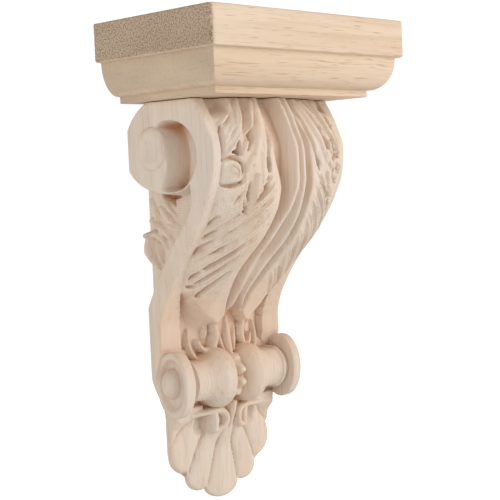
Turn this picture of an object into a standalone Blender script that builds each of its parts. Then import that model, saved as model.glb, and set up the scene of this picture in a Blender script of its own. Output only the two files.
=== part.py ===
"""A small carved wooden corbel: a moulded cap over a one-piece scrolled bracket.

Lengths are in millimetres and are scaled to metres where meshes are made.
The carving is described with three measures:
    across  distance to the right of the middle (x)
    out     distance from the wall, towards the front (minus y)
    down    distance below the top of the cap
"""

import math

import bmesh
import bpy
import numpy as np

MM = 0.001

# Driving sizes
CAP_WIDTH = 120.0
CAP_DEPTH = 70.0
ORIGIN_DOWN = 105.0
SEAM_GAP = 0.3

# Cap: a slab over a quarter-round and a small fillet
SLAB_HEIGHT = 16.2
SLAB_CORNER = 2.5
STEP_IN = 3.0
OVOLO_FOOT_DOWN = 30.2
OVOLO_FOOT_IN = 11.4
FILLET_IN = 12.4
CAP_HEIGHT = 33.1

# Bracket: front line of its side rims, out from the wall at each level
RIM_LINE = ((33, 38.0), (44, 44.6), (55.5, 48.5), (66, 47.2), (78, 41.9), (90, 33.8),
            (102.8, 22.4), (112, 15.6), (123, 9.1), (131, 7.0), (139, 7.0))
SIDE_HALF_WIDTH = 38.0
FIELD_HALF_WIDTH = 34.5
SWELL = 6.8
SWELL_FADE_OUT = 95.0
EDGE_ROUND = 1.8

# Side scroll
VOLUTE_OUT = 20.5
VOLUTE_DOWN = 54.5
VOLUTE_RADIUS = 23.5
VOLUTE_LOWER_RADIUS = 18.0
EYE_OUT = 14.6
EYE_DOWN = 53.0
EYE_REACH = 8.2
EYE_RISE = 9.2
EYE_HEIGHT = 2.2
DISH_RADIUS = 5.6
DISH_DEPTH = 1.6
HOLLOW_OUT = 24.0
HOLLOW_DOWN = 56.5
HOLLOW_RADIUS = 14.4
HOLLOW_HALF_WIDTH = 32.0
SHELF_OUT = 11.0
SHELF_DOWN = 57.7
SHELF_REACH = 12.2
SHELF_RISE = 17.0
BAND_REAR = ((33, 20.0), (56, 26.0), (66, 37.5), (76, 35.0), (83, 30.0), (93, 20.0),
             (102.5, 12.0), (110, 6.0), (122, -1.0))

# Small leaf in the side field: three points (out, down), three half-widths, height
SIDE_STROKES = (
    (((10.0, 70.0), (11.0, 77.0), (17.5, 81.5)), (1.5, 1.7, 0.8), 2.6),
    (((12.4, 72.6), (16.0, 73.4), (20.5, 73.0)), (1.3, 1.9, 1.0), -3.0),
    (((14.2, 74.0), (16.2, 75.0), (17.0, 77.4)), (1.2, 1.4, 0.5), -2.5),
    (((2.0, 75.0), (6.0, 80.0), (5.5, 86.5)), (1.5, 2.2, 1.0), 2.0),
    (((8.5, 78.5), (12.0, 84.0), (19.5, 86.5)), (1.6, 2.2, 0.8), 2.2),
    (((2.0, 83.5), (9.0, 87.0), (15.0, 92.5)), (1.6, 2.2, 0.8), 2.4),
    (((2.0, 89.5), (-2.0, 97.0), (5.5, 103.5)), (2.0, 2.6, 1.3), 4.6),
    (((2.0, 89.5), (8.0, 88.5), (11.0, 95.0)), (1.8, 2.0, 0.9), 2.8),
    (((5.0, 93.0), (7.0, 97.0), (7.5, 101.0)), (1.5, 2.4, 1.2), -2.4),
)

# Front leaf: a double rib, a valley and a crest on each side of the middle
CREST_LINE = ((33, 11.5), (50, 12.3), (60, 12.0), (70, 10.6), (80, 9.9), (92, 10.8),
              (102, 11.2), (110, 10.3), (118, 8.0), (126, 6.5))
CREST_HEIGHT = ((33, 5.5), (56, 5.6), (61, 6.9), (68, 9.3), (73, 11.1), (82, 12.5),
                (92, 13.0), (100, 12.0), (108, 9.8), (118, 7.8), (134, 6.2))
RIB_LINE = ((33, 1.7), (70, 1.9), (78, 2.6), (88, 4.4), (98, 4.8), (108, 3.6), (118, 2.4), (126, 3.0))
RIB_HEIGHT = ((33, 10.6), (48, 9.6), (63, 11.2), (73, 13.2), (81, 13.8), (88, 13.2),
              (94, 12.8), (104, 11.0), (113, 9.5), (122, 8.0), (134, 6.5))
RIB_GROOVE = ((33, 1.5), (72, 1.7), (80, 3.0), (90, 5.0), (98, 4.5), (106, 2.5), (116, 2.0))
VALLEY_HEIGHT = ((33, 2.0), (50, 2.2), (62, 2.8), (73, 4.2), (84, 6.0), (96, 6.5),
                 (108, 4.5), (118, 2.5), (126, 1.5))
RIM_INNER = ((33, 36.0), (60, 37.2), (72, 37.2), (80, 36.5), (88, 36.2), (96, 35.6),
             (104, 34.4), (113, 31.5), (118, 29.0), (124, 27.0), (131, 26.0), (139, 25.5))
LEAF_END = ((0, 117), (2, 125), (7.3, 130), (11, 134), (15, 134.5), (20, 131.5), (24, 126),
            (26.5, 119), (28, 116))
LEDGE_DOWN = 139.5
NECK_FLOOR = 3.2

# Cuts and ridges of the upper lobes: three points (across, down), three half-widths, height
LOBE_STROKES = (
    (((26.8, 34.4), (28.9, 40.5), (36.5, 45.5)), (1.6, 2.0, 0.8), 2.2),
    (((26.5, 37.9), (28.5, 43.0), (35.5, 50.5)), (0.8, 1.3, 0.6), 1.5),
    (((26.1, 39.6), (28.5, 46.0), (36.0, 54.5)), (0.8, 1.5, 0.6), 1.6),
    (((23.5, 35.0), (26.5, 47.0), (35.8, 58.0)), (1.4, 2.2, 0.9), 2.8),
    (((15.6, 35.0), (23.0, 46.5), (28.0, 57.5)), (1.4, 2.0, 0.9), 2.4),
    (((12.2, 34.0), (18.5, 48.5), (23.0, 61.0)), (1.6, 2.2, 1.2), 1.8),
    (((22.9, 57.6), (26.0, 62.0), (28.5, 67.0)), (1.2, 1.6, 0.6), 1.8),
    (((21.8, 66.5), (23.0, 72.5), (23.0, 78.5)), (1.6, 1.4, 0.5), 2.0),
    (((34.6, 45.5), (36.2, 52.0), (36.6, 59.0)), (1.0, 1.3, 0.8), -2.6),
    (((27.6, 37.5), (30.0, 43.5), (36.5, 48.0)), (0.5, 1.0, 0.4), -1.8),
    (((25.2, 39.0), (28.0, 48.0), (35.8, 56.5)), (0.5, 1.1, 0.6), -2.0),
    (((19.1, 34.0), (22.5, 43.5), (26.0, 51.5)), (1.5, 2.0, 0.8), -2.8),
    (((28.7, 51.5), (29.2, 54.0), (29.5, 56.5)), (0.4, 1.2, 1.6), -5.0),
    (((29.0, 56.0), (30.5, 55.6), (32.4, 56.4)), (1.2, 1.2, 0.5), -4.0),
    (((20.6, 46.6), (22.6, 50.2), (25.2, 54.8)), (0.9, 1.6, 1.3), -6.0),
    (((10.9, 40.0), (13.2, 51.0), (15.0, 58.5)), (0.8, 1.3, 0.9), -1.8),
    (((15.2, 59.2), (15.5, 61.5), (15.6, 64.3)), (0.8, 1.3, 0.8), -6.0),
    (((17.6, 59.8), (18.8, 66.0), (22.8, 75.5)), (0.5, 1.3, 0.5), -2.4),
    (((24.8, 69.0), (25.4, 73.5), (24.4, 79.0)), (0.6, 1.3, 0.6), -2.6),
    (((26.6, 76.5), (25.6, 79.5), (24.3, 82.0)), (0.6, 1.3, 0.5), -3.0),
    (((30.2, 77.5), (28.8, 75.0), (27.3, 72.4)), (0.5, 0.9, 0.5), -1.6),
    (((36.2, 58.6), (31.0, 56.0), (27.6, 61.0)), (1.0, 1.6, 1.0), -3.4),
    (((36.8, 59.0), (37.6, 64.0), (36.8, 68.5)), (0.7, 0.9, 0.7), -1.8),
    (((36.4, 69.6), (31.5, 71.6), (27.6, 69.0)), (0.8, 1.4, 0.9), -3.2),
    (((27.6, 61.0), (26.6, 65.0), (27.6, 69.0)), (0.7, 1.0, 0.7), -1.6),
)
BOSS_AT = (32.6, 64.2)
BOSS_SIZE = (4.4, 5.6)

# Blades below the lobes: levels of the cuts between them, and the deeper gaps
BLADE_SLOPE = 1.05
BLADE_CUTS = (61.0, 68.5, 75.0, 82.0, 90.0, 96.5, 104.5, 114.0)
BLADE_RELIEF = 2.8
BLADE_GAPS = (
    (((18.5, 94.5), (21.8, 98.5), (27.5, 103.5)), (0.6, 1.2, 1.5), -3.0),
    (((16.5, 98.0), (22.0, 105.5), (27.5, 110.3)), (0.4, 1.1, 1.0), -2.4),
    (((15.0, 106.5), (20.5, 109.5), (23.4, 116.5)), (0.4, 1.2, 1.2), -2.6),
    (((32.0, 92.4), (34.0, 94.2), (35.2, 100.8)), (1.0, 1.9, 0.7), -4.5),
    (((34.1, 82.6), (35.0, 84.3), (35.6, 87.2)), (0.9, 1.2, 0.5), -3.2),
    (((32.4, 88.0), (34.0, 89.3), (35.2, 91.4)), (0.5, 1.1, 0.6), -3.0),
    (((26.3, 95.0), (28.0, 96.3), (29.8, 97.9)), (0.6, 1.3, 0.7), -3.2),
    (((29.2, 106.0), (30.2, 107.0), (30.8, 108.8)), (0.7, 1.1, 0.6), -2.6),
    (((25.8, 112.1), (29.0, 112.5), (31.4, 111.6)), (0.6, 0.9, 0.5), -2.2),
    (((28.0, 116.3), (29.4, 118.0), (30.4, 120.2)), (0.5, 1.0, 0.5), -2.5),
)

# Upright leaf tips and a curl in the neck: points (across, down, out) and half-widths
NECK_LEAVES = (
    (((1.5, 146.0, 12.0), (4.2, 139.0, 10.5), (2.2, 130.5, 9.0)), (2.4, 2.2, 0.4)),
    (((4.5, 145.0, 13.0), (12.5, 138.5, 11.5), (8.6, 127.5, 10.0)), (2.2, 2.2, 0.5)),
    (((9.0, 145.0, 12.5), (18.0, 142.0, 10.0), (15.6, 135.0, 9.0)), (2.0, 1.7, 1.4)),
    (((15.6, 135.0, 9.0), (12.8, 131.8, 9.0), (12.0, 136.5, 8.0)), (1.4, 1.3, 0.7)),
    (((16.0, 144.0, 11.0), (24.5, 139.0, 9.5), (20.2, 130.5, 7.5)), (2.0, 2.0, 0.5)),
)

# Roll across the foot, with a disc at each end
ROLL_OUT = 11.2
ROLL_DOWN = 154.6
ROLL_REACH = ((0, 6.4), (3.6, 6.8), (6.5, 9.6), (10, 11.4), (13.5, 11.0), (18, 9.0), (22, 7.4),
              (25.5, 6.7), (27.3, 7.8), (28.6, 6.4), (31, 6.2))
ROLL_RISE = ((0, 10.5), (3.6, 10.8), (6.5, 12.2), (10, 13.3), (13.5, 12.9), (18, 10.8), (22, 9.2),
             (25.5, 8.5), (27.3, 9.6), (28.6, 8.0), (31, 7.8))
LUMP_HALF_WIDTH = 3.8
LUMP_SPACING = 5.4
LUMP_HEIGHT = 2.0
DISC_HALF_WIDTH = 36.6
DISC_THICKNESS = 5.4
DISC_REACH = 9.9
DISC_RISE = 14.6
DISC_RIM = 2.6
BOWL_DEPTH = 1.3
BUTTON_REACH = 4.8
BUTTON_RISE = 6.8
BUTTON_HEIGHT = 3.6
SLAB_OUT = ((139, 6.2), (146, 4.2), (152, 3.0), (171, 3.0))
UNDER_ROLL_OUT = 5.5

# Shell under the roll: flutes that fan out over a thin plate
FAN_DOWN = 168.0
SHELL_TOP_DOWN = 170.3
SHELL_HALF_WIDTH = 31.1
SHELL_EDGE_OUT = 2.6
SHELL_RISE = 1.6
FLUTE_RELIEF = 3.0
FLUTE_EDGES = (14.5, 35.0, 62.0, 92.0)
FLUTE_REACH = (43.5, 41.0, 38.4, 33.0)
FLUTE_MIDDLES = (0.0, 24.8, 48.5, 77.0)
FLUTE_HALVES = (14.5, 10.3, 13.5, 15.0)
FLUTE_BEND = 0.45
SCALLOP_DEPTH = 6.0
CURL_PATHS = (
    (((30.0, 170.8, 6.5), (19.0, 170.8, 9.0), (8.0, 170.4, 11.5)), (1.3, 1.5, 1.8)),
    (((8.0, 170.4, 11.5), (1.6, 171.0, 12.6), (4.4, 177.0, 12.0)), (1.8, 1.9, 1.7)),
    (((4.4, 177.0, 12.0), (6.0, 179.6, 11.0), (12.5, 180.2, 7.0)), (1.7, 1.7, 0.9)),
    (((0.0, 166.0, 14.0), (0.0, 173.0, 12.6), (0.0, 183.0, 7.0)), (2.0, 2.0, 0.8)),
)
CURL_HOLLOW = ((9.0, 14.6), (172.2, 178.6))
CURL_HOLLOW_OUT = 1.6

# How finely the bracket is skinned, and the share of its faces that is kept
SIDE_STEPS = 34
FRONT_STEPS = 80
SLAB_THICKNESS = 2.4
KEPT_SHARE = 0.2
BACK_TOLERANCE = 0.08
FAR_BEHIND = -50.0


def ease(start, end, value):
    """Rise smoothly from 0 at start to 1 at end."""
    t = np.clip((value - start) / (end - start), 0.0, 1.0)
    return t * t * (3.0 - 2.0 * t)


def line_through(points, value):
    """Read a smooth line, without overshoot, that passes through the points."""
    at = np.array([p[0] for p in points], float)
    to = np.array([p[1] for p in points], float)
    step = np.diff(at)
    slope = np.diff(to) / step
    tangent = np.zeros(len(at))
    for i in range(1, len(at) - 1):
        if slope[i - 1] * slope[i] > 0:
            tangent[i] = 2.0 * slope[i - 1] * slope[i] / (slope[i - 1] + slope[i])
    tangent[0] = slope[0]
    tangent[-1] = slope[-1]
    value = np.clip(value, at[0], at[-1])
    i = np.clip(np.searchsorted(at, value, side="right") - 1, 0, len(step) - 1)
    t = (value - at[i]) / step[i]
    return ((2 * t**3 - 3 * t**2 + 1) * to[i] + (t**3 - 2 * t**2 + t) * step[i] * tangent[i]
            + (3 * t**2 - 2 * t**3) * to[i + 1] + (t**3 - t**2) * step[i] * tangent[i + 1])


def bump(across, down, at, size, height):
    """A round-topped boss, or a hollow where height is negative."""
    q = ((across - at[0]) / size[0])**2 + ((down - at[1]) / size[1])**2
    return height * np.clip(1.0 - q, 0.0, 1.0)**1.3


def stroke(across, down, path, widths, height):
    """A ridge along a bent path, pointed where its width goes to zero."""
    path = np.array(path, float)
    t = np.linspace(0.0, 1.0, 13)
    line = ((1 - t)**2)[:, None] * path[0] + (2 * t * (1 - t))[:, None] * path[1] + (t**2)[:, None] * path[2]
    wide = np.interp(t, (0.0, 0.5, 1.0), widths)
    best = np.zeros(np.broadcast(across, down).shape)
    for i in range(len(t) - 1):
        step = line[i + 1] - line[i]
        along = ((across - line[i][0]) * step[0] + (down - line[i][1]) * step[1]) / step.dot(step)
        along = np.clip(along, 0.0, 1.0)
        gap = np.hypot(across - line[i][0] - along * step[0], down - line[i][1] - along * step[1])
        half = np.maximum(wide[i] + (wide[i + 1] - wide[i]) * along, 0.01)
        level = np.clip(1.0 - (gap / half)**2, 0.0, 1.0) * np.minimum(1.0, half / max(widths))
        best = np.maximum(best, level)
    return height * best


def rim_out(down):
    return line_through(RIM_LINE, down)


def raised(across, down, path, widths):
    """Top of a ridge along a bent path that carries its own distance from the wall."""
    path = np.array(path, float)
    t = np.linspace(0.0, 1.0, 13)
    line = ((1 - t)**2)[:, None] * path[0] + (2 * t * (1 - t))[:, None] * path[1] + (t**2)[:, None] * path[2]
    wide = np.interp(t, (0.0, 0.5, 1.0), widths)
    top = np.full(np.broadcast(across, down).shape, FAR_BEHIND)
    for i in range(len(t) - 1):
        step = line[i + 1] - line[i]
        flat = step[:2].dot(step[:2])
        along = ((across - line[i][0]) * step[0] + (down - line[i][1]) * step[1]) / flat
        along = np.clip(along, 0.0, 1.0)
        gap = np.hypot(across - line[i][0] - along * step[0], down - line[i][1] - along * step[1])
        half = wide[i] + (wide[i + 1] - wide[i]) * along
        level = line[i][2] + along * step[2] - 0.8 * half * (gap / half)**2
        top = np.maximum(top, np.where(gap < half, level, FAR_BEHIND))
    return top


def leaf_height(across, down):
    """How far the acanthus leaf stands in front of the side rims."""
    rim = line_through(RIM_INNER, down)
    rib = line_through(RIB_HEIGHT, down)
    rib_at = line_through(RIB_LINE, down)
    crest = line_through(CREST_HEIGHT, down)
    crest_at = line_through(CREST_LINE, down)
    valley = line_through(VALLEY_HEIGHT, down)
    groove = line_through(RIB_GROOVE, down)
    inside = rib - groove * (1.0 - ease(0.3, 0.85, across / rib_at))
    valley_side = valley + (rib - valley) * ease(rib_at + 2.5, rib_at + 0.7, across)
    valley_side += (crest - valley) * ease(crest_at - 3.2, crest_at - 0.2, across)
    flank = np.clip((across - crest_at) / (rim - crest_at), 0.0, 1.0)
    outside = crest * (1.0 - 0.92 * flank**2.2)
    height = np.where(across < rib_at, inside, np.where(across < crest_at, valley_side, outside))
    for path, widths, lift in LOBE_STROKES + BLADE_GAPS:
        height = height + stroke(across, down, path, widths, lift)
    height += bump(across, down, BOSS_AT, BOSS_SIZE, 3.8)
    height += blades(across, down, crest_at, rim)
    height -= 5.5 * ease(27.0, 28.6, across) * ease(39.0, 37.6, down)
    return height


def blades(across, down, crest_at, rim):
    """Slender blades that run from the crest down and outwards to the rim."""
    level = down - BLADE_SLOPE * (across - 14.0)
    lift = np.zeros(np.broadcast(across, down).shape)
    for start, end in zip(BLADE_CUTS[:-1], BLADE_CUTS[1:]):
        share = np.clip((level - start) / (end - start), 0.0, 1.0)
        body = np.sqrt(np.clip(1.0 - (2.0 * share - 1.0)**2, 0.0, 1.0)) - 0.7
        ridges = 0.16 * np.cos(6.0 * math.pi * share)
        lift = np.where((level >= start) & (level < end), body + ridges, lift)
    return BLADE_RELIEF * lift * ease(crest_at + 0.5, crest_at + 5.0, across) * ease(rim, rim - 2.0, across)


def shell_reach(angle):
    """How far the scalloped edge of the shell lies from the fan point."""
    angle = np.abs(angle)
    reach = np.full(np.shape(angle), 31.0)
    for middle, half, radius in zip(FLUTE_MIDDLES, FLUTE_HALVES, FLUTE_REACH):
        q = np.clip(1.0 - ((angle - middle) / (half * 1.1))**2, 0.0, 1.0)
        reach = np.maximum(reach, radius - SCALLOP_DEPTH * (1.0 - np.sqrt(q)))
    return reach


def flute_profile(angle):
    """1 along the middle of each flute and 0 in the grooves between them."""
    angle = np.abs(angle)
    level = np.zeros(np.shape(angle))
    start = -FLUTE_EDGES[0]
    for end in FLUTE_EDGES:
        q = 1.0 - ((angle - 0.5 * (start + end)) / (0.5 * (end - start)))**2
        level = np.maximum(level, np.sqrt(np.clip(q, 0.0, 1.0)))
        start = end
    return level


def shell_out(across, down):
    """Front of the shell: a thin fluted plate that rises under the curls."""
    angle = np.degrees(np.arctan2(across, np.maximum(down - FAN_DOWN, 0.01)))
    spread = np.hypot(across, down - FAN_DOWN) / np.maximum(shell_reach(angle), 1.0)
    angle = angle * (1.0 - FLUTE_BEND * np.clip(1.0 - spread, 0.0, 1.0) * ease(14.0, 36.0, angle))
    out = SHELL_EDGE_OUT + SHELL_RISE * np.clip(1.0 - spread**3, 0.0, 1.0)
    out += 3.2 * ease(177.0, 171.0, down) * ease(13.5, 16.0, across)
    out += 4.5 * ease(0.5, 0.2, spread) * ease(24.0, 10.0, across)
    out += FLUTE_RELIEF * (flute_profile(angle) - 0.55) * ease(0.2, 0.45, spread) * ease(1.06, 0.9, spread)
    (inner, outer), (top, foot) = CURL_HOLLOW
    hollow = ease(outer, outer - 0.8, across) * ease(top - 0.6, top + 0.4, down) * ease(foot + 2.0, foot, down)
    hollow = hollow * ease(inner - 5.0, inner - 3.0, across)
    out += (CURL_HOLLOW_OUT - out) * hollow
    for path, widths in CURL_PATHS:
        out = np.maximum(out, raised(across, down, path, widths))
    return out


def roll_out(across, down):
    """Front of the roll between its discs, or far behind the wall above and below it."""
    rise = line_through(ROLL_RISE, across)
    reach = line_through(ROLL_REACH, across)
    lump = 0.5 - 0.5 * np.cos(2.0 * math.pi * (down - ROLL_DOWN) / LUMP_SPACING)
    reach = reach + LUMP_HEIGHT * lump * ease(LUMP_HALF_WIDTH, 0.5 * LUMP_HALF_WIDTH, across)
    q = 1.0 - ((down - ROLL_DOWN) / rise)**2
    q = np.where(across < DISC_HALF_WIDTH - 0.5 * DISC_THICKNESS, q, -1.0)
    return np.where(q > 0, ROLL_OUT + reach * np.sqrt(np.clip(q, 0.0, 1.0)), FAR_BEHIND)


def front_out(across, down):
    """Front of the bracket at a point, its discs apart, as a distance from the wall."""
    rim = rim_out(down)
    inner = line_through(RIM_INNER, down)
    leaf = rim + leaf_height(across, down) * ease(inner, inner - 1.2, across)
    end = line_through(LEAF_END, across)
    neck = np.full(np.shape(leaf), NECK_FLOOR)
    for path, widths in NECK_LEAVES:
        neck = np.maximum(neck, raised(across, down, path, widths))
    soft = 0.7 + 4.0 * ease(9.0, 15.0, across)
    neck = neck + (leaf - neck) * ease(end + soft, end - soft, down)
    front = np.where((down > 110.0) & (across < inner), neck, np.where(down > 110.0, rim, leaf))
    under = np.where(across < DISC_HALF_WIDTH - DISC_THICKNESS, UNDER_ROLL_OUT, line_through(SLAB_OUT, down))
    front = np.where(down > LEDGE_DOWN, under, front)
    front = np.where(down > 166.5, shell_out(across, down), front)
    return np.maximum(front, roll_out(across, down))


def side_half_width(out, down):
    """Half the bracket's width at a point on its side, above the roll."""
    swell = SWELL * (1.0 - out / SWELL_FADE_OUT) * (1.0 - ease(62.0, 115.0, down))
    face = SIDE_HALF_WIDTH + swell
    radius = np.where(down < VOLUTE_DOWN, VOLUTE_RADIUS, VOLUTE_LOWER_RADIUS)
    inside = 1.0 - np.sqrt(((out - VOLUTE_OUT) / VOLUTE_RADIUS)**2 + ((down - VOLUTE_DOWN) / radius)**2)
    inside *= VOLUTE_LOWER_RADIUS
    band = np.maximum(inside, out - line_through(BAND_REAR, down))
    field = FIELD_HALF_WIDTH
    for path, widths, lift in SIDE_STROKES:
        field = field + stroke(out, down, path, widths, lift)
    half = field + (face - field) * ease(-0.8, 0.8, band)
    hollow = HOLLOW_RADIUS - np.hypot(out - HOLLOW_OUT, down - HOLLOW_DOWN)
    shelf = (np.hypot((out - SHELF_OUT) / SHELF_REACH, (down - SHELF_DOWN) / SHELF_RISE) - 1.0) * SHELF_REACH
    half += (HOLLOW_HALF_WIDTH - half) * ease(-0.8, 1.2, hollow) * ease(-1.6, 2.2, shelf)
    eye = np.hypot((out - EYE_OUT) / EYE_REACH, (down - EYE_DOWN) / EYE_RISE)
    dish = np.clip(1.0 - (eye * EYE_REACH / DISH_RADIUS)**2, 0.0, 1.0)
    eye_face = face + EYE_HEIGHT * np.sqrt(np.clip(1.0 - eye**4, 0.0, 1.0)) - DISH_DEPTH * dish
    half += (eye_face - half) * ease(1.1, 0.98, eye)
    return half


def disc_front(across, down):
    """Front of the end discs, or far behind the wall beside them."""
    q = 1.0 - ((down - ROLL_DOWN) / DISC_RISE)**2
    q = np.where(across > DISC_HALF_WIDTH - DISC_THICKNESS, q, -1.0)
    return np.where(q > 0, ROLL_OUT + DISC_REACH * np.sqrt(np.clip(q, 0.0, 1.0)), FAR_BEHIND)


def disc_face(out, down):
    """Half the width across the discs: a raised rim, a shallow bowl and a round button."""
    oval = np.hypot((out - ROLL_OUT) / DISC_REACH, (down - ROLL_DOWN) / DISC_RISE)
    rim_share = DISC_RIM / DISC_REACH
    face = DISC_HALF_WIDTH - BOWL_DEPTH * ease(1.0 - 0.6 * rim_share, 1.0 - 1.4 * rim_share, oval)
    knob = np.hypot((out - ROLL_OUT + 0.8) / BUTTON_REACH, (down - ROLL_DOWN + 0.8) / BUTTON_RISE)
    face += (BUTTON_HEIGHT + BOWL_DEPTH) * np.sqrt(np.clip(1.0 - knob**2, 0.0, 1.0))
    return np.where(oval < 1.0, face, DISC_HALF_WIDTH)


def foot_half_width(down):
    """Half the width at one level of the back slab and the shell."""
    if down <= SHELL_TOP_DOWN:
        return float(SIDE_HALF_WIDTH + (SHELL_HALF_WIDTH - SIDE_HALF_WIDTH) * ease(150.0, 171.0, down))
    across = np.linspace(0.0, 40.0, 801)
    angle = np.degrees(np.arctan2(across, down - FAN_DOWN))
    inside = np.hypot(across, down - FAN_DOWN) < shell_reach(angle)
    return float(min(across[inside].max(), SHELL_HALF_WIDTH + 0.3))


def metres(across, out, down):
    return (across * MM, -out * MM, (ORIGIN_DOWN - down) * MM)


def levels():
    """The heights of the bracket's cross-sections, closer where ledges are."""
    foot = FAN_DOWN + FLUTE_REACH[0] - 0.15
    stops = ((CAP_HEIGHT + SEAM_GAP, 1.4), (138.0, 0.7), (143.0, 1.3), (165.0, 0.8), (182.0, 1.5),
             (204.0, 0.7))
    rows = []
    for i, (start, step) in enumerate(stops):
        end = stops[i + 1][0] if i + 1 < len(stops) else foot
        rows.extend(np.arange(start, end - 0.01, step))
    rows.append(foot)
    return rows


def side_line(down):
    """One level of the bracket's side: how far out it goes, and its half-widths."""
    if down <= LEDGE_DOWN:
        edge = float(rim_out(down))
    else:
        edge = float(line_through(SLAB_OUT, min(down, 171.0)))
        disc = float(disc_front(np.array(DISC_HALF_WIDTH - 0.8), down))
        edge = max(edge, disc)
        if down > SHELL_TOP_DOWN:
            half = foot_half_width(down)
            edge = float(shell_out(np.array(max(half - 1.0, 0.0)), np.array(down)))
    outs = np.linspace(0.0, edge - EDGE_ROUND * min(1.0, edge / 8.0), SIDE_STEPS)
    if down <= LEDGE_DOWN:
        return outs, side_half_width(outs, down)
    slab = np.full(SIDE_STEPS, foot_half_width(down))
    beside_disc = (outs > SLAB_THICKNESS) & (abs(down - ROLL_DOWN) < DISC_RISE)
    return outs, np.where(beside_disc, disc_face(outs, down), slab)


def section(down):
    """One closed outline of the bracket, from its back left corner round the front."""
    outs, halves = side_line(down)
    corner = min(EDGE_ROUND, 0.4 * halves[-1])
    across = np.linspace(-(halves[-1] - corner), halves[-1] - corner, FRONT_STEPS)
    down_all = np.full(FRONT_STEPS, down)
    fronts = np.maximum(front_out(np.abs(across), down_all), disc_front(np.abs(across), down_all))
    fronts = np.maximum(fronts, 1.0)
    left = [(-h, o) for h, o in zip(halves, outs)]
    middle = list(zip(across, fronts))
    right = [(h, o) for h, o in zip(halves[::-1], outs[::-1])]
    return left + middle + right


def loft(name, sections, material):
    """Skin a stack of closed outlines and close its two ends."""
    mesh = bmesh.new()
    rings = [[mesh.verts.new(point) for point in ring] for ring in sections]
    count = len(rings[0])
    for upper, lower in zip(rings, rings[1:]):
        for i in range(count):
            j = (i + 1) % count
            mesh.faces.new((upper[i], upper[j], lower[j], lower[i]))
    mesh.faces.new(list(reversed(rings[0])))
    mesh.faces.new(rings[-1])
    bmesh.ops.recalc_face_normals(mesh, faces=mesh.faces)
    data = bpy.data.meshes.new(name)
    mesh.to_mesh(data)
    mesh.free()
    made = bpy.data.objects.new(name, data)
    bpy.context.scene.collection.objects.link(made)
    data.materials.append(material)
    return made


def wood(name, colour, roughness):
    material = bpy.data.materials.new(name)
    material.use_nodes = True
    shader = material.node_tree.nodes["Principled BSDF"]
    shader.inputs["Base Color"].default_value = (*colour, 1.0)
    shader.inputs["Roughness"].default_value = roughness
    shader.inputs["Metallic"].default_value = 0.0
    return material


def cap_outline(inset, down):
    """A rectangle with its back on the wall and its front corners rounded."""
    half = CAP_WIDTH / 2 - inset
    front = CAP_DEPTH - inset
    radius = max(SLAB_CORNER - 0.5 * inset, 0.6)
    points = [(-half, 0.0)]
    for turn in np.linspace(0.0, 90.0, 5):
        c, s = np.cos(np.radians(turn)), np.sin(np.radians(turn))
        points.append((-half + radius * (1 - c), front - radius * (1 - s)))
    points += [(-x, y) for x, y in reversed(points)]
    return [metres(x, y, down) for x, y in points]


def build_cap(material):
    profile = [(0.8, 0.0), (0.0, 0.8), (0.0, SLAB_HEIGHT - 0.8), (0.6, SLAB_HEIGHT), (STEP_IN, SLAB_HEIGHT + 0.4)]
    for turn in np.linspace(10.0, 90.0, 7):
        inset = STEP_IN + (OVOLO_FOOT_IN - STEP_IN) * (1 - np.cos(np.radians(turn)))
        drop = (OVOLO_FOOT_DOWN - SLAB_HEIGHT) * np.sin(np.radians(turn))
        profile.append((inset, SLAB_HEIGHT + drop))
    profile += [(FILLET_IN, OVOLO_FOOT_DOWN + 0.2), (FILLET_IN, CAP_HEIGHT)]
    return loft("cap", [cap_outline(inset, down) for inset, down in profile], material)


def keep_share(thing, share):
    """Keep a share of the faces, with every back corner put back on the wall."""
    thin = thing.modifiers.new("fewer_faces", "DECIMATE")
    thin.ratio = share
    seen = thing.evaluated_get(bpy.context.evaluated_depsgraph_get())
    thinned = bpy.data.meshes.new_from_object(seen)
    thing.modifiers.clear()
    thing.data = thinned
    for corner in thinned.vertices:
        if corner.co.y > -BACK_TOLERANCE * MM:
            corner.co.y = 0.0


def build_bracket(material):
    sections = [[metres(x, o, down) for x, o in section(down)] for down in levels()]
    bracket = loft("carved_bracket", sections, material)
    keep_share(bracket, KEPT_SHARE)
    return bracket


def clear_scene():
    for thing in list(bpy.data.objects):
        bpy.data.objects.remove(thing, do_unlink=True)


def main():
    clear_scene()
    pale = wood("pale_rubberwood", (0.72, 0.56, 0.42), 0.75)
    build_cap(pale)
    carved = wood("carved_rubberwood", (0.74, 0.59, 0.46), 0.78)
    build_bracket(carved)


main()
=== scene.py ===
"""The looks of a small carved wooden corbel: moulded cap over a scrolled bracket.

Lengths in the carving functions are in millimetres and are scaled to metres where
meshes are made. The carving is described with three measures:
    across  distance to the right of the middle (x)
    out     distance from the wall, towards the front (minus y)
    down    distance below the top of the cap
"""

import math

import bmesh
import bpy
import numpy as np
from mathutils import Matrix, Vector


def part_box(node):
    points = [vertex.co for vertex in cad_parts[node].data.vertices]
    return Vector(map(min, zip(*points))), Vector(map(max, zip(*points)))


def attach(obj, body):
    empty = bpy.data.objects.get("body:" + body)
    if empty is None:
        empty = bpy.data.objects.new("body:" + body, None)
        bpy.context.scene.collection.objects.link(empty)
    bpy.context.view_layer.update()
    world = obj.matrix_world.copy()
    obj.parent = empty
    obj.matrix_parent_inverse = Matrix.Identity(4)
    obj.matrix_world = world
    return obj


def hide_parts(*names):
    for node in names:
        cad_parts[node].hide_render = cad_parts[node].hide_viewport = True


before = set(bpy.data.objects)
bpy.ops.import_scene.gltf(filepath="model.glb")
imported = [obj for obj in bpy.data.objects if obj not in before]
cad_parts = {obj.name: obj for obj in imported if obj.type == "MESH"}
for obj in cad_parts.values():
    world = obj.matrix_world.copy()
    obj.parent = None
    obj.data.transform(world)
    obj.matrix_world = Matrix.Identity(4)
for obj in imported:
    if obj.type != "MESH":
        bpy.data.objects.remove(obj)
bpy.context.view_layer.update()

MM = 0.001
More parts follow.
